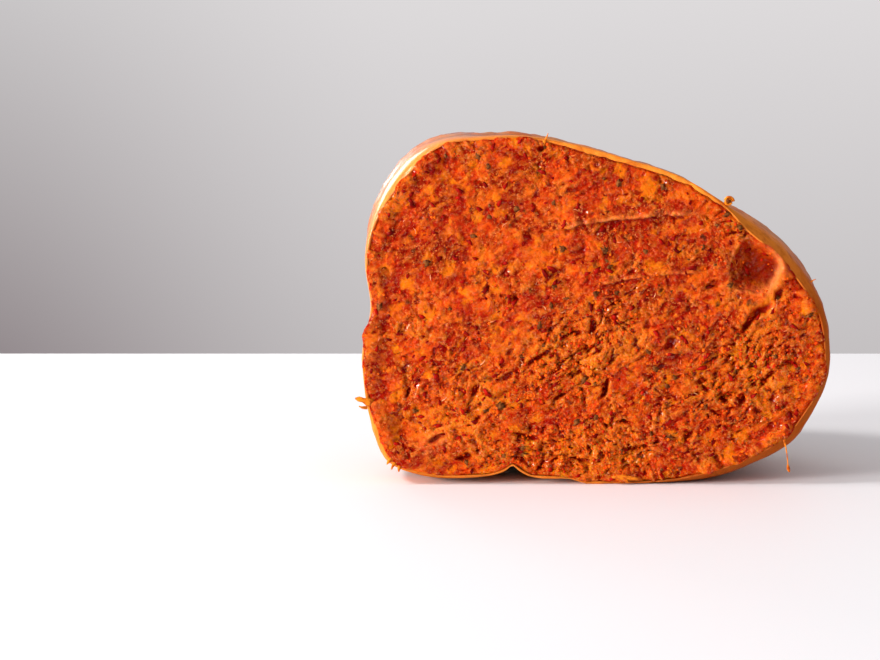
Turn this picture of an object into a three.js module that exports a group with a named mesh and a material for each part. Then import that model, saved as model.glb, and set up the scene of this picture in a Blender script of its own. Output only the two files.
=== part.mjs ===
// Half of a large 'nduja, the soft spreadable pork and chilli sausage of Calabria, cut across and resting on a
// table. It is two pieces: the paste, and the pig's caecum that it was stuffed into, which is closed at its far
// end by nature.
// Millimetres, +Z up. The cut face looks along -Y, and the closed end points along +Y.
import * as THREE from "three";

// ---- Driving dimensions ----
const cutWidth = 150; // the cut face, from flank to flank
const cutHeight = 113; // the cut face, from the table to its highest point
const length = 104; // from the plane of the cut to the closed end
const skin = 0.9; // thickness of the gut
const clearance = 0.3; // between the gut and the paste
const shoulder = 24; // distance behind the cut at which the gut reaches its full girth
const roundness = 2.3; // 2 closes the far end as an ellipse, and more makes it blunter
const axisHeight = 52; // height of the sausage's long axis at the cut
const endHeight = 43; // height of the closed end, which sags below the axis
const endDrift = 5; // how far the closed end stands to the right of the axis
const liftOff = 2; // height over which the gut curves up off the table
const dome = 1.6; // how far the middle of the cut face stands proud of its edge
const pucker = 2.5; // depth of the dimple where the end of the gut draws in
const puckerRadius = 9; // radius of that dimple
const puckerReach = 16; // length of gut, back from the closed end, over which the dimple fades in

// Hollows in the cut face: [right of the middle, height above the table, radius, depth].
const scoop = [51, 72, 9, 4.2]; // where a lump of paste came away
const airPocket = [-61, 21, 7, 1.8]; // where the stuffing left air behind

// ---- Fineness of the mesh ----
const samplesPerSpan = 2; // points around, for each point of the cut's edge
const shoulderRings = 6;
const endRings = 12;
const faceRings = 9;

// The edge of the cut, clockwise as seen from the front, starting on the left flank.
// Each row: across, as a share of cutWidth; up, as a share of cutHeight; and how far the gut swells out
// behind the cut at that point, in mm. The three bands of muscle that run along a caecum draw the gut in:
// they are the dent in the left flank, the corner at the upper right, and the crease underneath.
const cutEdge = [
  [-0.502, 0.318, 0.6],
  [-0.504, 0.405, 0.2],
  [-0.483, 0.512, 0.0], // the left band
  [-0.498, 0.627, 0.6],
  [-0.485, 0.74, 1.2],
  [-0.448, 0.829, 3.1],
  [-0.392, 0.916, 4.2],
  [-0.333, 0.988, 1.4],
  [-0.249, 1.0, 0.3],
  [-0.141, 1.0, 0.2],
  [-0.032, 0.977, -0.4],
  [0.076, 0.936, -0.5],
  [0.184, 0.89, -0.4],
  [0.275, 0.812, 0.5], // the upper right band
  [0.325, 0.737, 4.6],
  [0.387, 0.671, 5.0],
  [0.444, 0.581, 5.2],
  [0.485, 0.5, 3.8],
  [0.5, 0.39, 3.4],
  [0.496, 0.298, 3.6],
  [0.461, 0.217, 5.0],
  [0.416, 0.136, 6.0],
  [0.335, 0.075, 5.0],
  [0.238, 0.03, 5.5],
  [0.119, -0.002, 4.0],
  [-0.011, -0.014, 3.0],
  [-0.108, -0.01, 2.5],
  [-0.15, 0.008, 1.2],
  [-0.177, 0.038, 0.0], // the crease underneath, along the third band
  [-0.206, 0.01, 1.2],
  [-0.271, 0.004, 3.0],
  [-0.368, 0.033, 3.6],
  [-0.437, 0.066, 4.2],
  [-0.472, 0.159, 2.8],
  [-0.494, 0.24, 1.0],
];

// ---- The outside of the gut ----

// The cut's edge and the same edge at full girth, as two matching lists of points in the plane of the cut.
function edgesInPlane() {
  const cut = cutEdge.map(([across, up]) => new THREE.Vector3(across * cutWidth, 0, up * cutHeight));
  const full = cut.map((point, i) => {
    const before = cut[(i + cut.length - 1) % cut.length];
    const after = cut[(i + 1) % cut.length];
    const outward = new THREE.Vector3(before.z - after.z, 0, after.x - before.x).normalize();
    return point.clone().addScaledVector(outward, cutEdge[i][2]);
  });
  return { cut, full };
}

// Where each ring of the gut lies: its distance behind the cut, how much of the swell it has, and its size.
function stations() {
  const list = [];
  for (let k = 0; k < shoulderRings; k++) {
    const turn = (k / shoulderRings) * (Math.PI / 2);
    list.push({ behind: shoulder * (1 - Math.cos(turn)), swell: Math.sin(turn), size: 1, closing: 0 });
  }
  for (let k = 0; k < endRings; k++) {
    const turn = (k / endRings) * (Math.PI / 2);
    const closing = Math.sin(turn) ** (2 / roundness);
    const size = Math.cos(turn) ** (2 / roundness);
    list.push({ behind: shoulder + (length - shoulder) * closing, swell: 1, size, closing });
  }
  return list;
}

// The middle of a ring, which sags and drifts towards the closed end.
function middleOf({ behind, closing }) {
  const share = closing ** 2;
  return new THREE.Vector3(endDrift * share, behind, axisHeight + (endHeight - axisHeight) * share);
}

// The closed end draws in to a dimple around its middle.
function drawIn(point, middle) {
  const radius = Math.hypot(point.x - middle.x, point.z - middle.z);
  const towardsEnd = THREE.MathUtils.smoothstep(point.y, length - puckerReach, length);
  point.y -= pucker * Math.exp(-((radius / puckerRadius) ** 2)) * towardsEnd;
}

// The table holds every point up. Where the gut leaves the table it lifts off in a soft curve.
function restOnTable(height) {
  if (height >= liftOff) return height;
  if (height <= -liftOff) return 0;
  return (height + liftOff) ** 2 / (4 * liftOff);
}

// The rings of the gut's outer surface, from the cut to the closed end.
function outerRings() {
  const { cut, full } = edgesInPlane();
  const axis = new THREE.Vector3(0, 0, axisHeight);
  return stations().map((station) => {
    const middle = middleOf(station);
    const corners = cut.map((point, i) =>
      point.clone().lerp(full[i], station.swell).sub(axis).multiplyScalar(station.size).add(middle),
    );
    const curve = new THREE.CatmullRomCurve3(corners, true, "centripetal");
    const ring = curve.getPoints(cutEdge.length * samplesPerSpan).slice(0, -1);
    ring.forEach((point) => {
      point.z = restOnTable(point.z);
      drawIn(point, middle);
    });
    return ring;
  });
}

const outer = outerRings();
const around = outer[0].length;
const endPoint = new THREE.Vector3(endDrift, length - pucker, endHeight);

// The outward normal at a point of the outer surface. In the plane of the cut it has no share along Y.
function normalAt(ring, i) {
  const before = outer[ring][(i + around - 1) % around];
  const after = outer[ring][(i + 1) % around];
  if (ring === 0) return new THREE.Vector3(before.z - after.z, 0, after.x - before.x).normalize();
  const nearer = outer[ring - 1][i];
  const farther = ring + 1 < outer.length ? outer[ring + 1][i] : endPoint;
  return after.clone().sub(before).cross(farther.clone().sub(nearer)).normalize();
}

// The same normals, each evened out with its two neighbours in the ring, so that a sharp crease keeps its wall.
const normals = outer.map((ring, k) =>
  ring.map((point, i) => {
    const neighbours = normalAt(k, (i + around - 1) % around).add(normalAt(k, (i + 1) % around));
    return normalAt(k, i).multiplyScalar(2).add(neighbours).normalize();
  }),
);

// The rings of the surface that lies a given depth under the outside of the gut.
function ringsUnder(depth) {
  return outer.map((ring, k) => ring.map((point, i) => point.clone().addScaledVector(normals[k][i], -depth)));
}

function endUnder(depth) {
  return [endPoint.clone().add(new THREE.Vector3(0, -depth, 0))];
}

// ---- The cut face of the paste ----

// How far a hollow sinks the face at a point. The fourth power gives it a flat floor and a steep side.
function hollow(x, z, [right, up, radius, depth]) {
  const away = Math.hypot(x - right, z - up) / radius;
  return depth * Math.exp(-(away ** 4));
}

// The face's rings, from just inside the paste's edge to its middle. It domes forward, apart from its hollows.
function faceInside(edge) {
  const middle = new THREE.Vector3(0, 0, axisHeight);
  const rings = [];
  for (let k = 1; k <= faceRings; k++) {
    const reach = 1 - k / faceRings;
    const points = k === faceRings ? [middle.clone()] : edge.map((p) => middle.clone().lerp(p, reach));
    points.forEach((point) => {
      const sunk = hollow(point.x, point.z, scoop) + hollow(point.x, point.z, airPocket);
      point.y = -dome * (1 - reach ** 2) + sunk;
    });
    rings.push(points);
  }
  return rings;
}

// ---- Solids ----

// One closed body over a list of rings, which starts and ends with a ring of a single point. Each four-cornered
// patch is split along its shorter diagonal, so that surfaces which lie close together are split alike.
function bodyOver(rings) {
  const corners = rings.flat();
  const firstOf = rings.map((ring, k) => rings.slice(0, k).flat().length);
  const triangles = [];
  const diagonal = (from, to) => corners[from].distanceTo(corners[to]);
  for (let k = 0; k + 1 < rings.length; k++) {
    for (let i = 0; i < around; i++) {
      const [a, b] = [i, i + 1].map((step) => firstOf[k] + (step % rings[k].length));
      const [d, c] = [i, i + 1].map((step) => firstOf[k + 1] + (step % rings[k + 1].length));
      if (d === c) triangles.push(a, c, b);
      else if (a === b) triangles.push(a, d, c);
      else if (diagonal(a, c) < diagonal(b, d)) triangles.push(a, d, c, a, c, b);
      else triangles.push(a, d, b, b, d, c);
    }
  }
  const geometry = new THREE.BufferGeometry();
  geometry.setAttribute("position", new THREE.Float32BufferAttribute(corners.flatMap((p) => p.toArray()), 3));
  geometry.setIndex(triangles);
  geometry.computeVertexNormals();
  return geometry;
}

// A closed sleeve of gut: its outside from the closed end to the cut, then its inside back again.
function casingGeometry() {
  return bodyOver([endUnder(0), ...[...outer].reverse(), ...ringsUnder(skin), endUnder(skin)]);
}

// The paste fills the gut, and its cut face is the front.
function pasteGeometry() {
  const side = ringsUnder(skin + clearance);
  return bodyOver([endUnder(skin + clearance), ...[...side].reverse(), ...faceInside(side[0])]);
}

const gutMaterial = new THREE.MeshStandardMaterial({ color: 0xc8742e, roughness: 0.35, metalness: 0 });
const pasteMaterial = new THREE.MeshStandardMaterial({ color: 0xc4490f, roughness: 0.5, metalness: 0 });

const casing = new THREE.Mesh(casingGeometry(), gutMaterial);
casing.name = "gut_casing";

const paste = new THREE.Mesh(pasteGeometry(), pasteMaterial);
paste.name = "nduja_paste";

// The origin is on the table, under the middle of the sausage's box.
const sausage = new THREE.Group();
sausage.add(casing, paste);
const box = new THREE.Box3().setFromObject(sausage);
sausage.position.set(-(box.min.x + box.max.x) / 2, -(box.min.y + box.max.y) / 2, -box.min.z);

export default sausage;
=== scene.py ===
# %% [markdown]
# # Half of a large 'nduja
# 'Nduja is a soft, spreadable sausage of pork fat, pork and a great deal of red chilli. The paste is
# stuffed into a pig's caecum, a wide pouch of gut that nature closed at one end. This one was cut across
# and lies on a table with its rough cut face to the front. We load the measured solids first, because every
# surface below is taken from them: the fixed frame says how big the sausage is, and this lesson only makes
# its surfaces look real.

# %% Load the frame
import math

import bpy
import numpy as np
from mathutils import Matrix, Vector, noise
from mathutils.bvhtree import BVHTree


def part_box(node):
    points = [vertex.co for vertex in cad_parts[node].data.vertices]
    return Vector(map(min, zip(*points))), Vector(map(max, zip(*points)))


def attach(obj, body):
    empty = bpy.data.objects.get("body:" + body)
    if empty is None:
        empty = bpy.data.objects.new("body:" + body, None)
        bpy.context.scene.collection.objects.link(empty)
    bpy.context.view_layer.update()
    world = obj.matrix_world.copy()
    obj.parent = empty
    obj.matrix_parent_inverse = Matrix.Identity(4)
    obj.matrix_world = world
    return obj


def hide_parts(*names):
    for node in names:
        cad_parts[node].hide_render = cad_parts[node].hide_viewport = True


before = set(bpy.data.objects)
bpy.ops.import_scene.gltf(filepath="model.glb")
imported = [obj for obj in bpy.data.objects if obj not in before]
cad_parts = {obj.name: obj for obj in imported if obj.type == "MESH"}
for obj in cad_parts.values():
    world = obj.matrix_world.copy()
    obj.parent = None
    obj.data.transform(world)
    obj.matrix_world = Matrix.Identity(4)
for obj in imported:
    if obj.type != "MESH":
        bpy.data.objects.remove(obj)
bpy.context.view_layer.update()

MM = 0.001  # one millimetre, in Blender's metres
casing_low, casing_high = (np.array(corner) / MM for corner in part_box("gut_casing"))
cut_plane = casing_low[1]
print("solid, mm:", np.round(casing_low, 1), "to", np.round(casing_high, 1))
print("cut plane at y =", round(cut_plane, 1))

# %% [markdown]
# ## A few small helpers
# A shader tree is a list of nodes with numbers, colours and wires between them, so one function that adds a
# node with all three keeps the trees below readable. Colours are written as the sRGB hex values that a
# painter would pick, and turned into the linear light that a renderer counts in. Patterns are sized in
# millimetres. The colour of food is built up like a painting, one thin colour over another, so the last
# helper lays colours over a base, each through a mask of its own.

# %% Helpers for materials
FACTOR, COLOUR_A, COLOUR_B, MIXED = 0, 6, 7, 2  # sockets of a Mix node that mixes colours


def linear(hex_colour):
    """An sRGB hex colour as linear RGBA."""
    channels = [int(hex_colour[i:i + 2], 16) / 255 for i in (1, 3, 5)]
    return [c / 12.92 if c <= 0.04045 else ((c + 0.055) / 1.055) ** 2.4 for c in channels] + [1.0]


def per(size_mm):
    """The scale of a texture whose features are that wide, for coordinates in metres."""
    return 1 / (size_mm * MM)


def add_node(tree, kind, inputs, stops=(), **properties):
    """Adds a node. inputs maps sockets to a value, an output, or a node, which means its first output."""
    node = tree.nodes.new(kind)
    for name, value in properties.items():
        setattr(node, name, value)
    for key, value in inputs.items():
        if isinstance(value, bpy.types.Node):
            value = value.outputs[0]
        if isinstance(value, bpy.types.NodeSocket):
            tree.links.new(value, node.inputs[key])
        else:
            node.inputs[key].default_value = value
    for index, (place, colour) in enumerate(stops):
        elements = node.color_ramp.elements
        element = elements[index] if index < len(elements) else elements.new(place)
        element.position = place
        element.color = linear(colour)
    return node


def new_material(name):
    """An empty node material, and its node tree."""
    material = bpy.data.materials.new(name)
    material.use_nodes = True
    material.node_tree.nodes.clear()
    return material, material.node_tree


def paint_over(tree, base, layers):
    """Lays colours over a base. As source goes from low to high, a layer grows from 0 to its share."""
    for source, low, high, layer_share, colour in layers:
        mask = add_node(tree, "ShaderNodeMapRange", {0: source, 1: low, 2: high, 4: layer_share})
        over = linear(colour) if isinstance(colour, str) else colour
        mix = add_node(tree, "ShaderNodeMix", {
            FACTOR: mask, COLOUR_A: base, COLOUR_B: over}, data_type="RGBA")
        base = mix.outputs[MIXED]
    return base


# %% [markdown]
# ## Camera, table and light
# The sausage is seen almost straight onto its cut face, from a little above the table. A long lens keeps
# the outline true. The table is a white slab that ends a hand's breadth behind the sausage, in front of a
# soft grey backdrop, which is the world itself so that nothing stands in the way of a camera that goes
# round the back. Three soft boxes stand on the left. The key is halfway up the sky and level with the cut
# face, because light that rakes across a rough face is what shows its crumbs and tears. A wide low one,
# further off and more to the front, fills the shadows. A small one behind the left flank is there for one
# thing: it draws the long white gloss on the oiled gut. The white table throws the rest back up. The world
# is lit more from above and behind than from the front, where a room is darker, so the oily face keeps its
# deep colour.

# %% Camera
CAMERA_HEIGHT_ANGLE = math.radians(7)
CAMERA_DISTANCE = 0.900
LENS = 113.4  # mm, on a sensor 36 mm wide
AIM = Vector((-0.0516, cut_plane * MM, 0.0507))  # left of the sausage, so that it stands right of the middle

scene = bpy.context.scene
camera = bpy.data.objects.new("camera", bpy.data.cameras.new("camera"))
scene.collection.objects.link(camera)
scene.camera = camera
camera.data.lens = LENS
camera.data.sensor_width = 36
back = Vector((0, -math.cos(CAMERA_HEIGHT_ANGLE), math.sin(CAMERA_HEIGHT_ANGLE)))
camera.location = AIM + back * CAMERA_DISTANCE
camera.rotation_euler = (math.radians(90) - CAMERA_HEIGHT_ANGLE, 0, 0)
scene.view_settings.view_transform = "Standard"
print("camera at", [round(v, 3) for v in camera.location])

# %% Table
TABLE_BACK = 0.282  # how far behind the origin the table ends
TABLE_FRONT, TABLE_HALF_WIDTH, TABLE_THICKNESS, TABLE_EDGE = -3.0, 4.0, 0.03, 0.006

bpy.ops.mesh.primitive_cube_add(size=1)
table = bpy.context.object
table.name = "table"
table.scale = (2 * TABLE_HALF_WIDTH, TABLE_BACK - TABLE_FRONT, TABLE_THICKNESS)
table.location = (0, (TABLE_BACK + TABLE_FRONT) / 2, -TABLE_THICKNESS / 2)
bpy.ops.object.transform_apply(location=True, scale=True)
edge = table.modifiers.new("rounded edges", "BEVEL")
edge.width = TABLE_EDGE
edge.segments = 4

table_paint, tree = new_material("matt_white_lacquered_board")
lacquer = add_node(tree, "ShaderNodeBsdfPrincipled", {"Base Color": linear("#F3F0F1"), "Roughness": 0.55})
add_node(tree, "ShaderNodeOutputMaterial", {"Surface": lacquer})
table.data.materials.append(table_paint)

# %% Backdrop and ambient light
OVERHEAD, FRONT = 0.54, 0.46  # light from above and behind, and from the darker room behind the camera

world = bpy.data.worlds.new("studio")
scene.world = world
world.use_nodes = True
tree = world.node_tree
tree.nodes.clear()
direction = add_node(tree, "ShaderNodeTexCoord", {}).outputs["Generated"]
heading = add_node(tree, "ShaderNodeSeparateXYZ", {0: direction}).outputs
rightwards = add_node(tree, "ShaderNodeMapRange", {0: heading["X"], 1: -0.20, 2: 0.0},
                      interpolation_type="SMOOTHSTEP")
left_wall = paint_over(tree, linear("#8B8184"), ((heading["Z"], -0.13, 0.0, 1.0, "#C6C3C4"),))
right_wall = paint_over(tree, linear("#C4C0C1"), ((heading["Z"], -0.13, 0.0, 1.0, "#DEDBDC"),))
wall = paint_over(tree, left_wall, ((rightwards, 0.0, 1.0, 1.0, right_wall),))
seen = add_node(tree, "ShaderNodeBackground", {"Color": wall})
to_back = add_node(tree, "ShaderNodeMapRange", {
    0: heading["Y"], 1: -0.75, 2: 0.1, 3: FRONT, 4: OVERHEAD}, interpolation_type="SMOOTHSTEP")
ambient = add_node(tree, "ShaderNodeBackground", {"Color": linear("#FCFBFE"), "Strength": to_back})
sight = add_node(tree, "ShaderNodeLightPath", {}).outputs["Is Camera Ray"]
both = add_node(tree, "ShaderNodeMixShader", {0: sight, 1: ambient, 2: seen})
add_node(tree, "ShaderNodeOutputWorld", {"Surface": both})

# %% Lamps
LAMP_TARGET = Vector((0, 0, 0.05))  # the middle of the sausage


def soft_box(name, azimuth, height_angle, distance, side, watts):
    """A square lamp that looks at the sausage. Azimuth 0 is in front of it and 90 on its left."""
    lamp = bpy.data.objects.new(name, bpy.data.lights.new(name, "AREA"))
    turn, climb = math.radians(azimuth), math.radians(height_angle)
    towards = Vector((-math.sin(turn) * math.cos(climb), -math.cos(turn) * math.cos(climb), math.sin(climb)))
    lamp.location = LAMP_TARGET + towards * distance
    lamp.rotation_euler = towards.to_track_quat("Z", "Y").to_euler()
    lamp.data.size = side
    lamp.data.energy = watts
    scene.collection.objects.link(lamp)


soft_box("key_soft_box", azimuth=82, height_angle=44, distance=1.4, side=0.30, watts=11.5)
soft_box("left_fill", azimuth=62, height_angle=11, distance=3.0, side=0.9, watts=112)
soft_box("sheen_strip", azimuth=150, height_angle=17, distance=1.5, side=0.45, watts=3.6)

# %% [markdown]
# ## Measuring the gut
# The solid of the gut has flat facets a few millimetres wide. To get a smooth skin of the very same size,
# rays are shot at it from all round, first in rings along its flank and then, past the shoulder, fanned out
# towards its closed end. The hits make a regular grid: rows run round the sausage, columns run from the cut
# to the closed end. A few passes of averaging with the neighbours take the facets out and leave the shape.

# %% Shoot the rays
AROUND = 440  # points in each ring
FLANK_ROWS, CAP_ROWS = 46, 100
FLANK_END = -20.0  # where the flank's rings end and the fan of the closed end begins
MIDDLE = np.array([0.0, 0.0, 52.0])  # on the long axis of the sausage
CLOSED_END = np.array([3.7, 49.9, 43.0])  # the dimple in which the gut ends
FAR_OUT = 200.0  # mm, well outside the sausage


def on_circle(angles, radius):
    """Points on a circle in the plane of the cut, from angles counted from the right, anticlockwise."""
    return radius * np.stack([np.cos(angles), 0 * angles, np.sin(angles)], axis=-1)


def faceted_surface(node):
    """A CAD node's surface, in mm, ready for rays."""
    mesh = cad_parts[node].data
    corners = [vertex.co / MM for vertex in mesh.vertices]
    return BVHTree.FromPolygons(corners, [tuple(face.vertices) for face in mesh.polygons], epsilon=1e-4)


def hits(surface, centre, directions):
    """Where rays from far outside, aimed back at the centre, first meet the surface."""
    found = [surface.ray_cast(Vector(centre + FAR_OUT * way), Vector(-way))[0] for way in directions]
    return np.array([list(point) for point in found])


turns = np.arange(AROUND) * 2 * math.pi / AROUND
radial = on_circle(turns, 1)
gut_surface = faceted_surface("gut_casing")
flank_places = cut_plane + (FLANK_END - cut_plane) * np.linspace(0, 1, FLANK_ROWS, endpoint=False) ** 1.5
rings = [hits(gut_surface, MIDDLE + [0, max(y, cut_plane + 0.02), 0], radial) for y in flank_places]
fan_centre = MIDDLE + [0, FLANK_END, 0]
fan_axis = (CLOSED_END - fan_centre) / np.linalg.norm(CLOSED_END - fan_centre)
for tilt in np.linspace(0, math.pi / 2, CAP_ROWS, endpoint=False):
    ways = math.cos(tilt) * radial + math.sin(tilt) * fan_axis
    ways /= np.linalg.norm(ways, axis=1, keepdims=True)
    rings.append(hits(gut_surface, fan_centre, ways))
measured = np.array(rings)
print("measured grid:", measured.shape, "reaching y =", round(measured[..., 1].max(), 1))


# %% Take the facets out
def soften(grid, passes):
    """Averages each point with its neighbours round the ring and along the column."""
    for _ in range(passes):
        grid = (np.roll(grid, 1, axis=1) + 2 * grid + np.roll(grid, -1, axis=1)) / 4
        padded = np.concatenate([grid[:1], grid, grid[-1:]])
        grid = (padded[:-2] + 2 * padded[1:-1] + padded[2:]) / 4
    return grid


def outward_normals(grid):
    """The normals of a grid of rings."""
    around = np.roll(grid, -1, axis=1) - np.roll(grid, 1, axis=1)
    along = np.gradient(grid, axis=0)
    normal = np.cross(along, around)
    return normal / np.linalg.norm(normal, axis=-1, keepdims=True)


smooth = soften(measured, passes=12)
smooth[0, :, 1] = cut_plane
normals = outward_normals(smooth)
behind = np.cumsum(np.linalg.norm(np.diff(smooth, axis=0, prepend=smooth[:1]), axis=-1), axis=0)
print("length of the gut from the cut to its end, mm:", round(behind[-1].mean()))


# %% [markdown]
# ## Noise in millimetres
# Nearly everything on a sausage is irregular. Blender's own noise functions give repeatable irregularity:
# the same place always gives the same number. This wrapper samples them at many points, with features as
# wide as the size says.

# %% Noise helper
FINE = (1.0, 2.0, 4)  # a fractal of four octaves, each half as strong as the one before
RIDGED = (1.0, 2.0, 4, 1.0, 2.0)  # the same, folded into sharp ridges


def grained(points, size, kind=noise.fractal, settings=FINE, seed=0):
    """One noise value for each point in mm."""
    shift = Vector((31.7, 17.9, 11.3)) * seed
    flat = (points / size).reshape(-1, 3)
    return np.array([kind(Vector(p) + shift, *settings) for p in flat]).reshape(points.shape[:-1])


def lump_distance(position):
    """The distance to the nearest of many scattered points, which makes rounded lumps."""
    return noise.voronoi(position)[0][0]


def rise(values, low, high):
    """0 below low, 1 above high, and a smooth rise between."""
    share = np.clip((values - low) / (high - low), 0, 1)
    return share * share * (3 - 2 * share)


# %% [markdown]
# ## The gut casing
# A pig's caecum is a thin, tough skin. Three bands of muscle run along it and draw it in, and between them
# it bulges out in soft pouches. Dried round a soft paste it takes on long shallow wrinkles and gathers in
# pleats where it closes. The relief is worked out as a height over the measured skin, one layer for each of
# these.

# %% Relief of the gut
BANDS = np.radians([175.4, 44.9, 239.7])  # where the three bands run, counted from the right, anticlockwise
BAND_WIDTH = math.radians(6)

turn_grid = np.broadcast_to(turns, behind.shape)
away = np.abs((turn_grid[..., None] - BANDS + math.pi) % (2 * math.pi) - math.pi)
on_band = np.exp(-(away / BAND_WIDTH) ** 2).sum(axis=-1)
from_end = np.linalg.norm(smooth - CLOSED_END, axis=-1)
end_turn = np.arctan2(smooth[..., 2] - CLOSED_END[2], smooth[..., 0] - CLOSED_END[0])
settled = rise(behind, 3, 32)  # the cut edge is stretched smooth, and the relief grows behind it

wander = grained(smooth, 38, seed=1)
pouches = np.sin(behind / 27 * 2 * math.pi + 2.2 * wander + 1.7 * np.sin(3 * turn_grid))
stretched = np.stack([smooth[..., 0], smooth[..., 1] / 3.2, smooth[..., 2]], axis=-1)
long_wrinkles = grained(stretched, 7, noise.ridged_multi_fractal, RIDGED, seed=2) - 1.0
crossing = np.stack([smooth[..., 0] / 2.4, smooth[..., 1] * 1.4, smooth[..., 2] / 2.4], axis=-1)
cross_wrinkles = grained(crossing, 5, noise.ridged_multi_fractal, RIDGED, seed=3) - 1.0
lumps = grained(smooth, 8, seed=4)
pleats = np.sin(15 * end_turn + 3 * grained(smooth, 25, seed=5)) * np.exp(-((from_end - 16) / 13) ** 2)

relief = settled * (0.9 * pouches * (1 - on_band) - 0.8 * on_band + 0.30 * long_wrinkles)
relief += settled * (0.22 + 0.5 * on_band) * cross_wrinkles + 0.35 * lumps * rise(behind, 2, 12)
relief += 0.9 * pleats - 0.8 * settled
print("relief of the gut, mm:", round(relief.min(), 2), "to", round(relief.max(), 2))

# %% [markdown]
# ## The cut edge of the gut
# The knife left the gut a little ragged. Along the top it stands proud and thick, like the rim of a leather
# bag, and elsewhere it is thin. The skin is closed as a real wall: over the rim and back inside, deep
# behind the paste.

# %% Shape the skin and its rim
INNER_ROWS = list(range(0, 12)) + list(range(14, 46, 4)) + list(range(46, len(smooth), 10))
RIM_STEPS = (0.2, 0.5, 0.8)  # rings over the rim, as shares of the gut's thickness
RIM_RADIUS = 60  # mm, roughly that of the cut: it gives noise along the rim its size
TABLE_GAP = 0.03  # mm, keeps the gut clear of the table top

# Stretches of the rim, by their angle in radians.
top_edge = rise(turns, 0.70, 0.95) * rise(-turns, -1.95, -1.75)
left_edge = rise(turns, 1.9, 2.1) * rise(-turns, -4.9, -4.7) * (1 - 0.5 * rise(turns, 3.3, 3.7))
upper_right = rise(turns, 0.05, 0.25) * rise(-turns, -1.1, -0.8)
left_flank = rise(turns, 2.0, 2.3) * rise(-turns, -3.5, -2.9)
lean = np.clip(rise(-turns, -0.42, -0.18) + rise(turns, 4.6, 5.2), 0, 1)  # where the paste shows through
curled_up = rise(turns, 3.85, 4.10) * rise(-turns, -4.66, -4.52)

raggedness = grained(on_circle(turns, RIM_RADIUS), 5, seed=6)
thickness = 0.60 + 0.18 * raggedness + 0.75 * top_edge * (1 + 0.6 * raggedness) + 0.3 * left_edge
skin = smooth + relief[..., None] * normals
near_rim = np.exp(-(behind / 2.5) ** 2)
skin[..., 1] -= near_rim * (0.45 * raggedness + 0.7 * top_edge)
notch = 1.3 * np.exp(-((skin[..., 0] + 28.0) / 1.5) ** 2) * (skin[..., 2] < 12)
skin[..., 2] += (1.7 * curled_up + notch) * np.exp(-(behind / 16) ** 2)
skin[..., 2] = np.maximum(skin[..., 2], TABLE_GAP)

inward = normals.copy()
inward[0, :, 1] = 0
inward[0] /= np.linalg.norm(inward[0], axis=-1, keepdims=True)
lining = skin - inward * thickness[:, None]
rim = [skin[0] - inward[0] * (thickness * share)[:, None] for share in RIM_STEPS]
for ring, share in zip(rim, RIM_STEPS):
    ring[:, 1] -= 0.35 * thickness * math.sin(math.pi * share)


def mesh_piece(name, rings, faces, attributes, material):
    """A finished piece from points in mm, with its place in its mesh."""
    mesh = bpy.data.meshes.new(name)
    mesh.from_pydata((rings * MM).tolist(), [], faces)
    for attribute, values in attributes.items():
        layer = mesh.attributes.new(attribute, "FLOAT", "POINT")
        layer.data.foreach_set("value", np.asarray(values, dtype=np.float32))
    mesh.shade_smooth()
    mesh.materials.append(material)
    piece = bpy.data.objects.new(name, mesh)
    scene.collection.objects.link(piece)
    return piece


def band_faces(rows, count, first=0):
    """Four-cornered faces between successive rings of count points."""
    here = first + np.arange(rows - 1)[:, None] * count + np.arange(count)[None]
    beside = first + np.arange(rows - 1)[:, None] * count + (np.arange(count)[None] + 1) % count
    return np.stack([here, here + count, beside + count, beside], axis=-1).reshape(-1, 4).tolist()


# %% [markdown]
# ## Gut: natural casing, stained and oiled
# Next to the cut the gut is soaked with orange chilli fat. Further back it has dried to a tan that lets the
# red paste show through, with veins, freckles and a grey bloom, and it takes on a gloss of its own. Five
# attributes carry what a maker would see: how far a point is behind the cut, how deep it lies in a wrinkle,
# where the rim glows because light comes through it, where a film of wet oil lies, and where the red paste
# shows through the most, low on the right. The film is a coat over the skin, so the left flank gets a tight
# highlight over a soft one.

# %% Material of the gut
OIL_FULL, OIL_ENDS = 22.0, 62.0  # mm behind the cut, give or take the mottling

gut_material, tree = new_material("natural_gut_casing_oiled")
place = add_node(tree, "ShaderNodeTexCoord", {}).outputs["Object"]
sway = add_node(tree, "ShaderNodeTexNoise", {"Vector": place, "Scale": per(14), "Detail": 3.0})
bent = add_node(tree, "ShaderNodeVectorMath", {0: sway.outputs["Color"], 1: (6 * MM,) * 3, 2: place},
                operation="MULTIPLY_ADD")
from_cut, wrinkle_depth, glow, wetness, lean_mark = (
    add_node(tree, "ShaderNodeAttribute", {}, attribute_name=name).outputs["Fac"]
    for name in ("behind", "hollow", "glow", "wet", "lean"))

mottle = add_node(tree, "ShaderNodeTexNoise", {
    "Vector": bent, "Scale": per(16), "Detail": 5.0, "Roughness": 0.6})
freckle = add_node(tree, "ShaderNodeTexNoise", {
    "Vector": bent, "Scale": per(2.6), "Detail": 4.0, "Roughness": 0.65})
vein = add_node(tree, "ShaderNodeTexVoronoi", {"Vector": bent, "Scale": per(22)}, feature="DISTANCE_TO_EDGE")
powder = add_node(tree, "ShaderNodeTexNoise", {
    "Vector": place, "Scale": per(9), "Detail": 8.0, "Roughness": 0.7})
streak = add_node(tree, "ShaderNodeTexNoise", {
    "Vector": bent, "Scale": per(5), "Detail": 5.0, "Roughness": 0.65})
bloom_share = add_node(tree, "ShaderNodeMapRange", {0: from_cut, 1: 25.0, 2: 70.0, 4: 0.55})
paste_showing = add_node(tree, "ShaderNodeValToRGB", {0: mottle}, stops=[
    (0.32, "#9A3A0C"), (0.45, "#C4601A"), (0.55, "#CC8038"), (0.68, "#A58462")])
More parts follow.
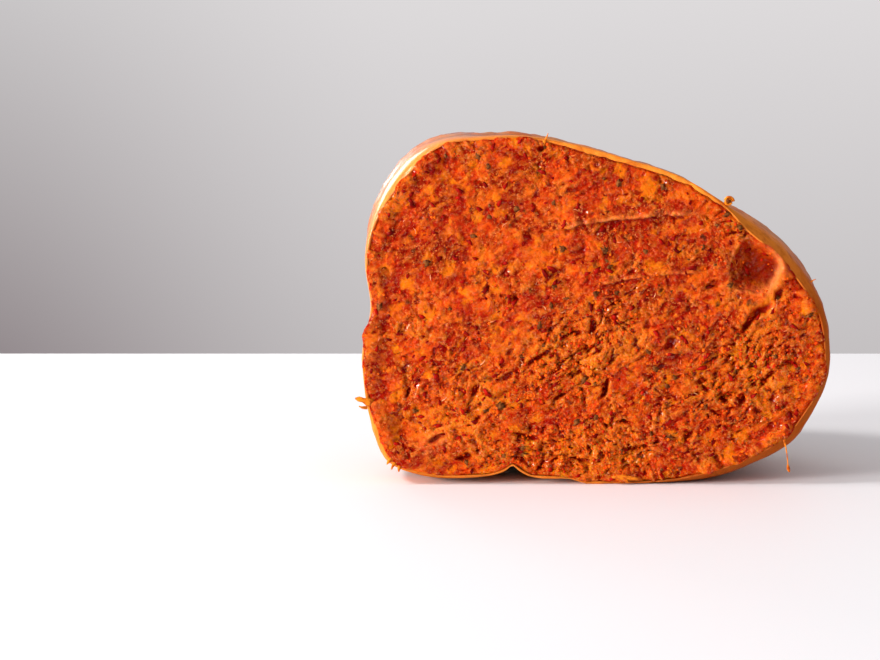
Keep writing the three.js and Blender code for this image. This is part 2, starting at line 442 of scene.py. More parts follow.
dried = paint_over(tree, paste_showing, (
    (freckle, 0.52, 0.68, 0.55, "#7C2F10"),
    (vein, 0.045, 0.012, 0.45, "#74341A"),
    (powder, 0.54, 0.72, bloom_share, "#C6B39C"),  # the grey bloom, only well behind the cut
))

oil_edge = add_node(tree, "ShaderNodeMath", {0: mottle, 1: 26.0, 2: from_cut}, operation="MULTIPLY_ADD")
oil_depth = add_node(tree, "ShaderNodeMapRange", {0: oil_edge, 1: 8.0, 2: 60.0})
soaked = add_node(tree, "ShaderNodeValToRGB", {0: oil_depth}, stops=[
    (0.0, "#FF9A38"), (0.3, "#F08226"), (0.65, "#C8641E"), (1.0, "#AC5220")])
streaked = paint_over(tree, soaked, (
    (lean_mark, 0.0, 1.0, 0.75, "#A83A14"),  # red paste low on the right
    (streak, 0.44, 0.66, 0.7, "#A8400C"),  # streaks in the oil
))
rim_colour = paint_over(tree, linear("#A85420"), ((glow, 0.0, 1.0, 1.0, "#FF9032"),))
rim_share = add_node(tree, "ShaderNodeMapRange", {0: streak, 1: 0.40, 2: 0.62, 3: 0.9, 4: 0.225})
coloured = paint_over(tree, dried, (
    (oil_edge, OIL_ENDS, OIL_FULL, 0.85, streaked),
    (from_cut, 9.0, 0.4, rim_share, rim_colour),  # light through the rim
    (wrinkle_depth, 0.25, 1.2, 0.6, "#5E2A10"),  # dirt and shade in the wrinkles
))

leather = add_node(tree, "ShaderNodeTexVoronoi", {"Vector": bent, "Scale": per(1.5)}, feature="SMOOTH_F1")
grain = add_node(tree, "ShaderNodeTexNoise", {"Vector": place, "Scale": per(0.9), "Detail": 3.0})
surface = add_node(tree, "ShaderNodeMath", {0: leather, 1: grain}, operation="ADD")
wavy = add_node(tree, "ShaderNodeBump", {"Height": streak, "Distance": 1.1 * MM, "Strength": 0.6})
pimpled = add_node(tree, "ShaderNodeBump", {
    "Height": surface, "Distance": 0.12 * MM, "Strength": 0.5, "Normal": wavy})
polish = add_node(tree, "ShaderNodeMapRange", {0: oil_edge, 1: OIL_ENDS, 2: OIL_FULL, 3: 0.42, 4: 0.318})
gloss = add_node(tree, "ShaderNodeMapRange", {
    0: from_cut, 1: 2.0, 2: 70.0, 4: 0.3}, interpolation_type="SMOOTHSTEP")
film = add_node(tree, "ShaderNodeMapRange", {0: wetness, 3: gloss, 4: 0.8})
gut_shader = add_node(tree, "ShaderNodeBsdfPrincipled", {
    "Base Color": coloured, "Roughness": polish, "Normal": pimpled, "Specular IOR Level": gloss,
    "Subsurface Weight": 0.18, "Subsurface Radius": (1.0, 0.45, 0.12), "Subsurface Scale": 0.0015,
    "Coat Weight": film, "Coat Roughness": 0.2,
})
add_node(tree, "ShaderNodeOutputMaterial", {"Surface": gut_shader})

# %% Build the gut
inner = lining[INNER_ROWS]
order = list(skin[::-1]) + rim + list(inner)
behind_order = list(behind[::-1]) + [0 * behind[0]] * len(rim) + list(behind[INNER_ROWS])
hollow_order = [np.maximum(-row, 0) for row in relief[::-1]] + [0 * behind[0]] * (len(rim) + len(inner))
outer_tip = skin[-1].mean(axis=0) - [0, 0.2, 0]
inner_tip = inner[-1].mean(axis=0)
gut_points = np.concatenate([np.array(order).reshape(-1, 3), [outer_tip, inner_tip]])
gut_faces = [face[::-1] for face in band_faces(len(order), AROUND)]
tip, last = len(gut_points) - 2, (len(order) - 1) * AROUND
gut_faces += [(tip, (i + 1) % AROUND, i) for i in range(AROUND)]
gut_faces += [(tip + 1, last + i, last + (i + 1) % AROUND) for i in range(AROUND)]
glow_round = np.maximum(np.maximum(top_edge, 0.6 * left_edge), 0.6 * upper_right)
gut = mesh_piece("gut_casing_skin", gut_points, gut_faces, {
    "behind": np.append(np.array(behind_order).ravel(), [behind[-1].mean()] * 2),
    "glow": np.append(np.tile(glow_round, len(order)), [0, 0]),
    "wet": np.append(np.tile(left_flank, len(order)), [0, 0]),
    "lean": np.append(np.tile(lean, len(order)), [0, 0]),
    "hollow": np.append(np.array(hollow_order).ravel(), [0, 0]),
}, gut_material)
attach(gut, "root")
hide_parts("gut_casing")
print("gut:", len(gut_faces), "faces")

# %% [markdown]
# ## The cut face of the paste
# The paste is minced coarsely, so a knife does not slice it cleanly: it smears the soft fat, drags up lips
# and tears lumps out. The face is a square grid of half-millimetre cells, bent into the outline of the cut.
# A square grid keeps its cells the same size all over, where rings would crowd them in the middle. Each
# cell is pushed in or out by a height made of layers, from the broad unevenness down to single crumbs.

# %% Lay the grid over the cut
CELLS = 296  # along each side of the grid

steps = np.linspace(-1, 1, CELLS + 1)
column, row = np.meshgrid(steps, steps, indexing="ij")
disc_x = column * np.sqrt(1 - row ** 2 / 2)
disc_z = row * np.sqrt(1 - column ** 2 / 2)
share = np.hypot(disc_x, disc_z)  # 0 in the middle of the face and 1 on its edge
face_turn = np.arctan2(disc_z, disc_x) % (2 * math.pi)

SPILLS = ((182, 3, 1.8), (190, 4, 0.8), (214, 9, 1.2), (262, 8, 0.4))  # degrees, spread, mm over the rim


def reach_at(ring, angles):
    """How far a ring of the gut lies from the middle, at any angle round it."""
    sideways, upwards_mm = ring[:, 0] - MIDDLE[0], ring[:, 2] - MIDDLE[2]
    angle = np.arctan2(upwards_mm, sideways) % (2 * math.pi)
    ranked = np.argsort(angle)
    return np.interp(angles, angle[ranked], np.hypot(sideways, upwards_mm)[ranked], period=2 * math.pi)


edge_reach = reach_at(lining[0], face_turn) - 0.1
rim_place = on_circle(face_turn, RIM_RADIUS)
over_rim = rise(face_turn, 4.7, 5.0) + rise(-face_turn, -0.75, -0.5)
up_left = rise(face_turn, 1.75, 1.95) * rise(-face_turn, -3.9, -3.7) * (1 - 0.5 * rise(face_turn, 2.9, 3.2))
spill = over_rim * np.clip(0.45 + 1.5 * grained(rim_place, 7, seed=8), 0, 1.0)
spill = spill + up_left * np.clip(0.6 + 1.3 * grained(rim_place, 3.5, seed=9), 0.15, 1.2)
for centre, spread, amount in SPILLS:
    off = np.abs((np.degrees(face_turn) - centre + 180) % 360 - 180)
    spill = spill + amount * np.exp(-(off / spread) ** 2)
edge_reach = edge_reach + spill * rise(share, 0.93, 1.0)
face_x = MIDDLE[0] + share * edge_reach * np.cos(face_turn)
face_z = MIDDLE[2] + share * edge_reach * np.sin(face_turn)
flat_face = np.stack([face_x, np.zeros_like(face_x), face_z], axis=-1)
print("widest cell, mm:", round(np.diff(face_x, axis=0).max(), 2))
print("tallest cell, mm:", round(np.diff(face_z, axis=1).max(), 2))


# %% [markdown]
# ### Where the knife smeared, and where the paste tore
# The upper part was smeared flat by the blade. Lower down and to the right the paste tore in diagonal
# furrows, and near the table it cracked open in level gaps. In between, smooth smears and crumbly patches a
# centimetre wide take turns. Two faint lips run across the top, where the blade stopped and started again.
# On the right a lump came out and left a scoop with a low far side, a steep wall on the right and a dark
# red floor. A paler colour on that wall, on the scoop's far rim, on the smooth lump and along the lips is
# painted highlight, where the light falls on them. The mask of the tears and the mask of the rough patches
# steer the relief here, and the colours and crumbs further down.

# %% Masks of the face
TORN_AREAS = (  # x, z, half length, half width, tilt, strength
    (-6, 44, 26, 13, 36, 1.0), (48, 36, 24, 13, 42, 1.0), (-2, 12, 44, 9, 4, 0.9),
    (46, 86, 12, 7, -40, 0.5), (-48, 30, 20, 16, 30, 0.45), (20, 30, 30, 14, 30, 0.5),
)
WARP = 2.2  # mm by which nothing on the face lies quite straight


def along_and_across(over, above, angle):
    """Distances along and across a line that climbs to the right by that many degrees."""
    tilt = math.radians(angle)
    along = over * math.cos(tilt) + above * math.sin(tilt)
    across = above * math.cos(tilt) - over * math.sin(tilt)
    return along, across


def spot(x, z, half_length, half_width, angle):
    """How far each point is from a tilted oval's centre, as a share of its radius."""
    along, across = along_and_across(warped[..., 0] - x, warped[..., 2] - z, angle)
    return np.hypot(along / half_length, across / half_width)


warp_x, warp_z = grained(flat_face, 11, seed=11), grained(flat_face, 11, seed=12)
warped = flat_face + WARP * np.stack([warp_x, np.zeros_like(face_x), warp_z], axis=-1)
torn = np.zeros_like(face_x)
for x, z, half_length, half_width, angle, strength in TORN_AREAS:
    torn = np.maximum(torn, strength * np.exp(-spot(x, z, half_length, half_width, angle) ** 2.5))
torn = np.clip(torn + 0.25 * grained(flat_face, 16, seed=13), 0.06, 1)
crumbly = rise(grained(warped, 8, seed=30), -0.12, 0.30)
rough = np.clip(crumbly + 0.7 * torn, 0.10, 1)  # low in a smooth smear and 1 among crumbs


# %% Layers of relief
def furrows(angle, length, width, seed):
    """Ridged noise drawn out in one direction: long torn furrows."""
    along, across = along_and_across(warped[..., 0], warped[..., 2], angle)
    drawn = np.stack([along * width / length, 0 * along, across], axis=-1)
    return grained(drawn, width, noise.ridged_multi_fractal, RIDGED, seed=seed)


broad = 0.75 * grained(warped, 15, seed=14)
knobs = 0.52 * grained(warped, 4.6, seed=15) * (0.6 + 0.8 * torn)
mince = (0.45 - grained(warped, 2.6, lump_distance, (), seed=16)) * (0.7 + 1.2 * torn) * rough
crumbs = (0.45 - grained(warped, 1.3, lump_distance, (), seed=17)) * 0.7 * rough
rips = rise(furrows(38, 9, 2.4, 18), 1.15, 1.9) * torn * rise(warped[..., 2], 14, 24)
cracks = rise(furrows(-4, 8, 2.0, 19), 1.25, 1.9) * np.maximum(torn - 0.2, 0)
cracks = cracks * rise(-warped[..., 2], -26, -16)
pits = rise(grained(warped, 3.4, seed=20), 0.34, 0.62)
strokes = 0.34 * (furrows(34, 15, 3.0, 31) - 1.0)
face_relief = broad + knobs + mince + crumbs + strokes - 1.9 * rips - 1.9 * cracks - 0.9 * pits * (0.4 + torn)
print("relief of the paste, mm:", round(face_relief.min(), 2), "to", round(face_relief.max(), 2))

# %% Single holes, lips and the scoop
HOLES = (  # x, z, half length, half width, tilt, depth
    (1.9, 32.1, 3.4, 1.1, 66, 3.2), (-26.6, 62.2, 1.2, 0.9, 0, 1.6), (-2.9, 51.7, 2.6, 1.3, 80, 2.2),
    (40.9, 27.8, 1.5, 1.0, 10, 2.6), (45.6, 28.3, 1.6, 1.2, 40, 2.8), (-39.6, 31.1, 2.6, 0.8, 32, 2.0),
    (-61.7, 31.1, 1.6, 0.7, 40, 2.0), (-20.1, 110.0, 1.4, 1.0, 0, 2.2), (-19.2, 41.9, 4.2, 1.2, 30, 2.2),
    (-31.0, 35.0, 2.6, 1.1, 30, 1.8), (49.7, 55.0, 6.5, 1.5, 46, 1.9), (58.3, 62.6, 1.9, 1.1, 65, 1.7),
    (13.3, 11.5, 3.0, 1.3, 12, 2.4), (-24.0, 15.5, 4.2, 1.1, -12, 2.3), (9.0, 20.0, 2.2, 0.9, 8, 2.0),
    (-52.0, 15.0, 3.4, 1.0, 16, 1.7), (29.5, 16.4, 2.2, 1.0, 60, 1.9), (36.5, 66.0, 2.4, 1.6, 30, 1.2),
    (55.5, 35.0, 3.2, 1.1, 44, 1.8), (-13.0, 29.0, 3.0, 1.0, 34, 1.7), (24.0, 47.0, 1.7, 1.2, 30, 1.6),
    (-44.0, 9.5, 2.6, 1.0, 10, 2.0), (33.5, 33.5, 2.0, 1.0, 20, 1.6), (-5.0, 8.0, 3.8, 0.9, -4, 2.0),
)
LIPS = ((-14.0, 83.6, 32.8, 88.8, 1.7), (-1.3, 65.4, 32.8, 69.7, 0.8))  # x, z to x, z, and height
SCOOP = (50.4, 71.4, 9.6, 8.8, -62)  # x, z, half length, half width, tilt, as in the next three
SMOOTH_RED = (61.7, 69.0, 5.5, 2.6, -62)  # the smooth patch beside the scoop
SOFT_DIP = (-63, 21.3, 6.5, 6.0, 0)  # where the stuffing left air behind, at the lower left
SOFT_LUMP = (-53.3, 13.9, 5.5, 4.2, 20)  # the smooth lump below it
SCOOP_DEPTH, SCOOP_RIM = 4.2, 0.6

for x, z, half_length, half_width, tilt, depth in HOLES:
    face_relief -= depth * np.exp(-spot(x, z, half_length, half_width, tilt) ** 4)
lip_mark = np.zeros_like(face_x)
waviness = 0.8 * grained(flat_face, 7, seed=21)
fine_waviness = 0.12 * grained(flat_face, 2, seed=22)
broken = np.clip(0.9 + grained(flat_face, 5, seed=23), 0.3, 1)
for x0, z0, x1, z1, rise_mm in LIPS:
    run = (flat_face[..., 0] - x0) / (x1 - x0)
    bow = 0.9 * np.sin(3.0 * run) + waviness + fine_waviness
    above = flat_face[..., 2] - (z0 + (z1 - z0) * run + bow)
    on_line = rise(run, -0.02, 0.1) * rise(-run, -1.03, -0.85) * broken
    drop = np.exp(above / 0.28) - 0.55 * np.exp(above / 1.6) * (above < -0.4)
    lip = np.where(above > 0, np.exp(-above / 2.0), drop)
    face_relief += rise_mm * on_line * lip
    lip_mark = np.maximum(lip_mark, on_line * np.exp(-((above - 0.3) / 0.6) ** 2) * rise_mm)
scoop_share = spot(*SCOOP)
scoop_side = np.degrees(np.arctan2(warped[..., 2] - SCOOP[1], warped[..., 0] - SCOOP[0]))
right_wall = np.exp(-((scoop_side + 25) / 62) ** 2)
in_scoop = 0.75 * (1 - rise(scoop_share, 0.10 + 0.62 * right_wall, 1.0))
in_scoop += 0.25 * (1 - rise(scoop_share, 0.88, 1.0))
rim_of_scoop = np.exp(-((scoop_share - 0.88) / 0.13) ** 2) * right_wall
far_lip = np.exp(-((scoop_share - 1.0) / 0.05) ** 2) * (1 - right_wall)
face_relief = face_relief * (1 - 0.8 * rim_of_scoop)
face_relief += SCOOP_RIM * np.exp(-((scoop_share - 1.08) / 0.12) ** 2) * right_wall - SCOOP_DEPTH * in_scoop
smooth_red = np.exp(-spot(*SMOOTH_RED) ** 3)
soft_dip = np.exp(-spot(*SOFT_DIP) ** 3)
soft_lump = np.exp(-spot(*SOFT_LUMP) ** 3)
face_relief = face_relief * (1 - 0.8 * smooth_red) + 1.1 * soft_lump - 2.0 * soft_dip

# %% [markdown]
# ### Bringing the layers together
# The face domes forward a little and turns back at its edge, where it meets the gut. How much lower a point
# lies than the ground around it is kept with the mesh. The material uses it, because in the hollows the
# paste is darker: less light gets in, and the oil gathers there.

# %% Assemble the face
DOME = 1.2  # how far the middle of the face stands proud of its edge
PROUDEST = 3.2  # nothing stands further in front of the cut
LOWEST = 0.35  # keeps the face off the table


def blurred(values, passes):
    """The average over a neighbourhood, which grows with the passes."""
    for _ in range(passes):
        padded = np.pad(values, 1, mode="edge")
        values = (padded[:-2, 1:-1] + padded[2:, 1:-1] + padded[1:-1, :-2] + padded[1:-1, 2:]) / 4
    return values


edge_fade = 1 - rise(share, 0.955, 1.0)
forward = DOME * (1 - share ** 2) + face_relief * (0.3 + 0.7 * edge_fade) - 0.5 * rise(share, 0.985, 1.0)
forward += 1.1 * rise(spill, 0.0, 0.5) * rise(share, 0.93, 0.97)
forward = np.minimum(forward, PROUDEST)
around_it = blurred(forward, 14)
hollow = np.clip((around_it - forward) / 0.9, 0, 1) * (0.3 + 0.7 * edge_fade) * (1 - 0.75 * in_scoop)
proud = np.clip((forward - around_it) / 0.7, 0, 1)
face_points = np.stack([face_x, cut_plane - forward, np.maximum(face_z, LOWEST)], axis=-1)
print("deepest", round(forward.min(), 2), "mm, highest", round(forward.max(), 2), "mm in front of the cut")

# %% [markdown]
# ## Paste: minced pork fat and chilli, cut and smeared
# The paste is an oily mixture, so no single colour is right for it. From big to small: orange and brick red
# areas a few millimetres wide, where there is more fat or more chilli; diagonal smears drawn out by the
# blade; soft flecks of orange fat; grains of mince, each a shade of its own; dark red pieces of chilli
# skin; a few dark spice specks; and a fine grit. Hollows go dark red, and raised crumbs catch the light.
# Red light travels a millimetre or so inside the fat and green and blue hardly at all, so the shadows stay
# red. The oil is a coat that lies in small patches only, so it gives wet glints and no overall shine.

# %% Material of the paste
KNIFE_SLANT = 36  # degrees by which the blade's smears climb to the right
FAT_BEGINS, FAT_FULL = 0.58, 0.68  # where in the noise a fleck of fat begins, and is pure
NO_SPICE = 0.84  # the share of the cells without a speck of spice

paste_material, tree = new_material("nduja_paste_minced_pork_and_chilli")
place = add_node(tree, "ShaderNodeTexCoord", {}).outputs["Object"]
sway = add_node(tree, "ShaderNodeTexNoise", {"Vector": place, "Scale": per(5), "Detail": 3.0})
bent = add_node(tree, "ShaderNodeVectorMath", {0: sway.outputs["Color"], 1: (3.5 * MM,) * 3, 2: place},
                operation="MULTIPLY_ADD")
fray = add_node(tree, "ShaderNodeTexNoise", {
    "Vector": place, "Scale": per(1.3), "Detail": 4.0, "Roughness": 0.7})
frayed = add_node(tree, "ShaderNodeVectorMath", {0: fray.outputs["Color"], 1: (2.2 * MM,) * 3, 2: bent},
                  operation="MULTIPLY_ADD")
hollow_mark, proud_mark, painted_highlight_mark, scoop_mark, torn_mark, rough_mark = (
    add_node(tree, "ShaderNodeAttribute", {}, attribute_name=name).outputs["Fac"]
    for name in ("hollow", "proud", "painted_highlight", "scooped", "torn", "rough"))

area = add_node(tree, "ShaderNodeTexNoise", {
    "Vector": bent, "Scale": per(15), "Detail": 8.0, "Roughness": 0.65})
torn_shift = add_node(tree, "ShaderNodeMapRange", {0: torn_mark, 3: -0.065, 4: 0.055})
shifted = add_node(tree, "ShaderNodeMath", {0: area, 1: torn_shift}, operation="ADD")
areas = add_node(tree, "ShaderNodeValToRGB", {0: shifted}, stops=[
    (0.385, "#A41200"), (0.455, "#D23204"), (0.52, "#F2560A"), (0.59, "#FF8418")])
turned = add_node(tree, "ShaderNodeVectorRotate", {
    "Vector": bent, "Axis": (0, 1, 0), "Angle": math.radians(KNIFE_SLANT)})
drawn_out = add_node(tree, "ShaderNodeVectorMath", {0: turned, 1: (0.3, 1.0, 1.0)}, operation="MULTIPLY")
smear = add_node(tree, "ShaderNodeTexNoise", {
    "Vector": drawn_out, "Scale": per(4), "Detail": 5.0, "Roughness": 0.6})
mince_cell = add_node(tree, "ShaderNodeTexVoronoi", {"Vector": frayed, "Scale": per(1.8)})
mince_shade = add_node(tree, "ShaderNodeSeparateColor", {0: mince_cell.outputs["Color"]}).outputs
mince_depth = add_node(tree, "ShaderNodeMapRange", {0: rough_mark, 3: 0.3, 4: 0.8})
fat = add_node(tree, "ShaderNodeTexNoise", {"Vector": frayed, "Scale": per(5.5), "Detail": 1.5})
chilli_patch = add_node(tree, "ShaderNodeTexNoise", {"Vector": frayed, "Scale": per(3.2), "Detail": 1.0})
speck_cell = add_node(tree, "ShaderNodeTexVoronoi", {"Vector": frayed, "Scale": per(4.2)})
speck_pick = add_node(tree, "ShaderNodeSeparateColor", {0: speck_cell.outputs["Color"]}).outputs
speck_chosen = add_node(tree, "ShaderNodeMath", {0: speck_pick[2], 1: NO_SPICE}, operation="GREATER_THAN")
speck_depth = add_node(tree, "ShaderNodeMapRange", {0: speck_chosen, 4: 0.85})
grit = add_node(tree, "ShaderNodeTexNoise", {
    "Vector": place, "Scale": per(0.8), "Detail": 3.0, "Roughness": 0.75})
grit_reach = add_node(tree, "ShaderNodeMapRange", {0: rough_mark, 3: 0.22, 4: 0.95})
melted = add_node(tree, "ShaderNodeMapRange", {0: fat, 1: FAT_BEGINS, 2: FAT_FULL, 3: 1.0, 4: 0.325})
grit_depth = add_node(tree, "ShaderNodeMath", {0: grit_reach, 1: melted}, operation="MULTIPLY")
coloured = paint_over(tree, areas, (
    (smear, 0.47, 0.36, 0.75, "#BC1A00"),  # red smears
    (smear, 0.54, 0.66, 0.75, "#FF7A10"),  # smears of fat
    (mince_shade[0], 0.5, 1.0, mince_depth, "#B41400"),  # lean grains of mince
    (mince_shade[1], 0.6, 1.0, mince_depth, "#FF8424"),  # fat grains of mince
    (fat, FAT_BEGINS, FAT_FULL, 0.9, "#FF8208"),
    (chilli_patch, 0.36, 0.30, 0.9, "#900600"),
    (speck_cell, 0.30, 0.14, speck_depth, "#4E1E0A"),  # spice
    (grit, 0.45, 0.34, grit_depth, "#B01000"),  # dark grit
    (grit, 0.55, 0.64, grit_depth, "#FF9238"),  # light grit
    (proud_mark, 0.0, 1.0, 0.75, "#FF8628"),  # crumbs that catch the light
    (hollow_mark, 0.08, 0.8, 0.95, "#A00600"),  # less light and more oil
    (scoop_mark, 0.0, 1.0, 0.85, "#961400"),  # the red floor of the scoop
    (painted_highlight_mark, 0.0, 1.0, 1.0, "#FF8C48"),  # painted highlight on the scoop's lit wall, its far rim, the lump and the lips
))

coarse = add_node(tree, "ShaderNodeTexNoise", {
    "Vector": frayed, "Scale": per(1.6), "Detail": 6.0, "Roughness": 0.72})
grains = add_node(tree, "ShaderNodeMath", {0: coarse, 1: mince_cell}, operation="SUBTRACT")
relief_depth = add_node(tree, "ShaderNodeMapRange", {0: rough_mark, 3: 0.9 * MM, 4: 2.3 * MM})
bumped = add_node(tree, "ShaderNodeBump", {"Height": grains, "Distance": relief_depth, "Strength": 1.0})
wet = add_node(tree, "ShaderNodeMapRange", {0: coarse, 1: 0.35, 2: 0.65, 3: 0.35, 4: 0.6})
oily = add_node(tree, "ShaderNodeMapRange", {0: grit, 1: 0.54, 2: 0.60, 4: 1.0})
paste_shader = add_node(tree, "ShaderNodeBsdfPrincipled", {
    "Base Color": coloured, "Roughness": wet, "Normal": bumped, "Specular IOR Level": 0.03,
    "Subsurface Weight": 0.6, "Subsurface Radius": (1.0, 0.12, 0.03), "Subsurface Scale": 0.0014,
    "Coat Weight": oily, "Coat Roughness": 0.14,
})
add_node(tree, "ShaderNodeOutputMaterial", {"Surface": paste_shader})

# %% [markdown]
# ### Closing the paste
# The paste fills the gut to its end. Behind the face its side follows the gut's lining. Nobody sees it, so
# each ring soon has only half the points of the one before, until the rings are coarse.

# %% Build the paste
SIDE_ROWS = (2, 8, 14, 22, 32, 46, 62, 78, 94, 110, 126, 140)  # rings of the lining that it follows
HALVED_TO = 148  # a ring with more points than this is followed by one with half as many
PASTE_GAPS = (0.15, 2.2)  # mm between the paste and the lining: at the cut, and deep inside

count = CELLS + 1
index = np.arange(count * count).reshape(count, count)
quads = np.stack([index[:-1, :-1], index[1:, :-1], index[1:, 1:], index[:-1, 1:]], axis=-1)
loop = np.concatenate([index[:-1, 0], index[-1, :-1], index[:0:-1, -1], index[0, :0:-1]])
edge_turns = face_turn.ravel()[loop]


def lining_ring(row, angles):
    """Points just inside the lining, at the given angles round the ring."""
    gap = np.interp(row, (SIDE_ROWS[0], 40), PASTE_GAPS)
    ring = lining[row] - gap * inward[row]
    place_in_ring = angles / (2 * math.pi) * AROUND
    columns = [np.interp(place_in_ring, np.arange(AROUND), ring[:, axis], period=AROUND) for axis in range(3)]
    return np.stack(columns, axis=-1)


paste_points = [face_points.reshape(-1, 3)]
paste_faces = quads.reshape(-1, 4).tolist()
front_ring, angles, first = loop, edge_turns, count * count
for row_index in SIDE_ROWS:
    if len(front_ring) > HALVED_TO:
        angles = angles[::2]
    ring = lining_ring(row_index, angles)
    back_ring = first + np.arange(len(ring))
    n = len(ring)
    for i in range(n):
        j = (i + 1) % n
        if len(front_ring) == n:
            paste_faces.append((front_ring[i], back_ring[i], back_ring[j], front_ring[j]))
        else:
            near, between, far = front_ring[2 * i], front_ring[2 * i + 1], front_ring[(2 * i + 2) % (2 * n)]
            paste_faces += [(near, back_ring[i], between), (between, back_ring[i], back_ring[j])]
            paste_faces.append((between, back_ring[j], far))
    paste_points.append(ring)
    front_ring, first = back_ring, first + n
paste_points.append(np.array([lining[SIDE_ROWS[-1]].mean(axis=0)]))
paste_faces += [(front_ring[i], first, front_ring[(i + 1) % len(front_ring)]) for i in range(len(front_ring))]
paste_points = np.concatenate(paste_points)
paste_faces = [tuple(int(corner) for corner in face) for face in paste_faces]

hidden = np.zeros(len(paste_points) - count * count)
# painted highlight where the light falls on the scoop's right wall and far rim, the smooth lump and the lips
painted_highlight = np.clip(0.9 * rim_of_scoop + 0.35 * far_lip + 0.2 * soft_lump + 0.35 * lip_mark, 0, 1)
paste = mesh_piece("nduja_paste_cut", paste_points, paste_faces, {
    "hollow": np.append(hollow.ravel(), hidden), "proud": np.append(proud.ravel(), hidden),
    "painted_highlight": np.append(painted_highlight.ravel(), hidden), "torn": np.append(torn.ravel(), hidden),
    "scooped": np.append(np.maximum(in_scoop, 0.6 * smooth_red).ravel(), hidden),
    "rough": np.append((rough * (1 - 0.9 * smooth_red) * (1 - 0.7 * rim_of_scoop)).ravel(), hidden),
    "front": np.append((share < 0.985).ravel(), hidden),
}, paste_material)
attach(paste, "root")
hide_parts("nduja_paste")
print("paste:", sum(len(face) - 2 for face in paste_faces), "triangles")

# %% [markdown]
# ## Crumbs, chilli and spice
# A cut through mince is not a continuous skin: crumbs stand on it, and flakes of chilli and grains of spice
# stick out of it. They repeat by the hundred, so Geometry Nodes scatter them: points are strewn over the
# face, denser where the paste is torn, and each gets a copy of one small shape, turned, scaled and pressed
# in at random.

# %% The scattering tree
scatter_tree = bpy.data.node_groups.new("scatter_over_cut_face", "GeometryNodeTree")
for name, kind in (
    ("Geometry", "Geometry"), ("Shape", "Object"), ("Finish", "Material"), ("Per square metre", "Float"),
    ("Smallest", "Float"), ("Largest", "Float"), ("Lift", "Float"), ("Tilt", "Float"),
    ("Follow tears", "Float"), ("Seed", "Int"),
):
    scatter_tree.interface.new_socket(name=name, in_out="INPUT", socket_type="NodeSocket" + kind)
scatter_tree.interface.new_socket(name="Geometry", in_out="OUTPUT", socket_type="NodeSocketGeometry")

given = add_node(scatter_tree, "NodeGroupInput", {}).outputs
torn_here = add_node(scatter_tree, "GeometryNodeInputNamedAttribute", {"Name": "torn"}, data_type="FLOAT")
on_face = add_node(scatter_tree, "GeometryNodeInputNamedAttribute", {"Name": "front"}, data_type="FLOAT")
followed = add_node(scatter_tree, "ShaderNodeMapRange", {0: given["Follow tears"], 3: 1.0, 4: torn_here})
density = add_node(scatter_tree, "ShaderNodeMath", {0: given["Per square metre"], 1: followed},
                   operation="MULTIPLY")
density_on_face = add_node(scatter_tree, "ShaderNodeMath", {0: density, 1: on_face},
                           operation="MULTIPLY")
strewn = add_node(scatter_tree, "GeometryNodeDistributePointsOnFaces", {
    "Mesh": given["Geometry"], "Density": density_on_face, "Seed": given["Seed"]})
lift = add_node(scatter_tree, "ShaderNodeVectorMath", {0: strewn.outputs["Normal"], "Scale": given["Lift"]},
                operation="SCALE")
lifted = add_node(scatter_tree, "GeometryNodeSetPosition", {
    "Geometry": strewn.outputs["Points"], "Offset": lift})
upright = add_node(scatter_tree, "FunctionNodeAlignRotationToVector", {
    "Vector": strewn.outputs["Normal"]}, axis="Z")
tilt_low = add_node(scatter_tree, "ShaderNodeMath", {0: given["Tilt"], 1: -1.0}, operation="MULTIPLY")
least = add_node(scatter_tree, "ShaderNodeCombineXYZ", {0: tilt_low, 1: tilt_low, 2: 0.0})
most = add_node(scatter_tree, "ShaderNodeCombineXYZ", {0: given["Tilt"], 1: given["Tilt"], 2: 2 * math.pi})
spin = add_node(scatter_tree, "FunctionNodeRandomValue", {
    0: least, 1: most, "Seed": given["Seed"]}, data_type="FLOAT_VECTOR")
turned = add_node(scatter_tree, "FunctionNodeRotateRotation", {0: upright, 1: spin},
                  rotation_space="LOCAL")
size = add_node(scatter_tree, "FunctionNodeRandomValue", {
    2: given["Smallest"], 3: given["Largest"], "Seed": given["Seed"]}, data_type="FLOAT")
uneven = add_node(scatter_tree, "FunctionNodeRandomValue", {
    0: (0.7, 0.7, 0.7), 1: (1.3, 1.3, 1.3), "Seed": given["Seed"]}, data_type="FLOAT_VECTOR")
stretch = add_node(scatter_tree, "ShaderNodeVectorMath", {0: uneven, "Scale": size.outputs[1]},
                   operation="SCALE")
shape = add_node(scatter_tree, "GeometryNodeObjectInfo", {"Object": given["Shape"]})
placed = add_node(scatter_tree, "GeometryNodeInstanceOnPoints", {
    "Points": lifted, "Instance": shape.outputs["Geometry"], "Rotation": turned,
    "Scale": stretch})
real = add_node(scatter_tree, "GeometryNodeRealizeInstances", {0: placed})
finished = add_node(scatter_tree, "GeometryNodeSetMaterial", {
    "Geometry": real, "Material": given["Finish"]})
add_node(scatter_tree, "NodeGroupOutput", {0: finished})


def scatter(name, **sizes):
    """Strews one shape over the paste's face, and returns the result as a plain mesh piece."""
    piece = bpy.data.objects.new(name, paste.data)
    modifier = piece.modifiers.new("scatter", "NODES")
    modifier.node_group = scatter_tree
    for socket in scatter_tree.interface.items_tree:
        key = socket.name.lower().replace(" ", "_")
        if socket.in_out == "INPUT" and key in sizes:
            modifier[socket.identifier] = sizes[key]
    scene.collection.objects.link(piece)
    strewn_mesh = bpy.data.meshes.new_from_object(piece.evaluated_get(bpy.context.evaluated_depsgraph_get()))
    piece.modifiers.clear()
    piece.data = strewn_mesh
    strewn_mesh.name = name
    strewn_mesh.shade_smooth()
    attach(piece, "root")
    print(name + ":", len(strewn_mesh.polygons), "faces")
    return piece


